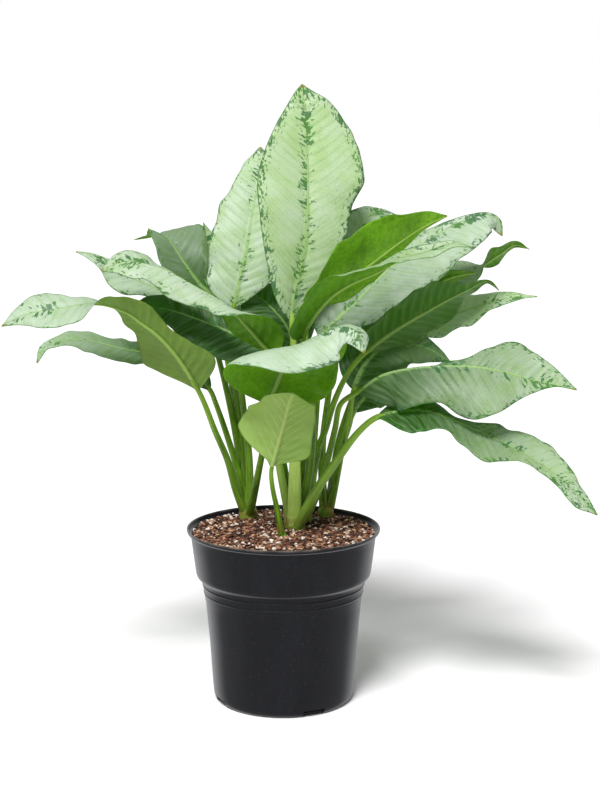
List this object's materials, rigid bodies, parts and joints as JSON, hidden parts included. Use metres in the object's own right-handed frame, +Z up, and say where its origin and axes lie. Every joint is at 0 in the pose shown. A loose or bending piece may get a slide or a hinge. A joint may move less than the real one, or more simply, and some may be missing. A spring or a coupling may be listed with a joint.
{
  "type": "potted chinese evergreen",
  "caption": "Chinese evergreen house plant with broad silver-green leaves on long stalks, growing in soil in a round black nursery pot.",
  "frame": {"origin": "middle of the pot's flat bottom, on the surface that the pot stands on", "axes": "+Z up along the pot's axis; the plant's front, as in the picture, faces -Y, and +X is to the picture's right"},
  "size_m": [0.7033, 0.4319, 0.7592],
  "materials": {
    "pot_plastic": "satin",
    "soil": "matte",
    "stalk": "satin",
    "leaf": "satin",
    "young_leaf": "satin"
  },
  "bodies": {
    "root": {"pot": "pot_plastic", "soil": "soil", "shoot_left": "stalk", "shoot_middle": "stalk", "shoot_front_small": "stalk", "shoot_centre_back": "stalk", "shoot_right_back": "stalk", "leaf_tall_centre": "leaf", "leaf_tall_left": "leaf", "leaf_back_left_curled": "leaf", "leaf_back_left_folded": "leaf", "leaf_upper_left": "leaf", "leaf_upper_left_rear": "leaf", "leaf_far_left": "leaf", "leaf_lower_left": "leaf", "leaf_inner_left": "leaf", "leaf_inner_back": "leaf", "leaf_back_right_arched": "leaf", "leaf_upper_right_rear": "leaf", "leaf_upper_right_front": "leaf", "leaf_silver_right": "leaf", "leaf_mid_right": "leaf", "leaf_rear_right_short": "leaf", "leaf_rear_right_twisted": "leaf", "leaf_right_pointed": "leaf", "leaf_inner_right": "leaf", "leaf_big_right": "leaf", "leaf_low_right": "leaf", "leaf_young_front": "young_leaf", "leaf_front_folded": "leaf", "leaf_back_low_left": "leaf", "leaf_back_centre": "leaf", "leaf_back_low_right": "leaf"}
  },
  "joints": []
}
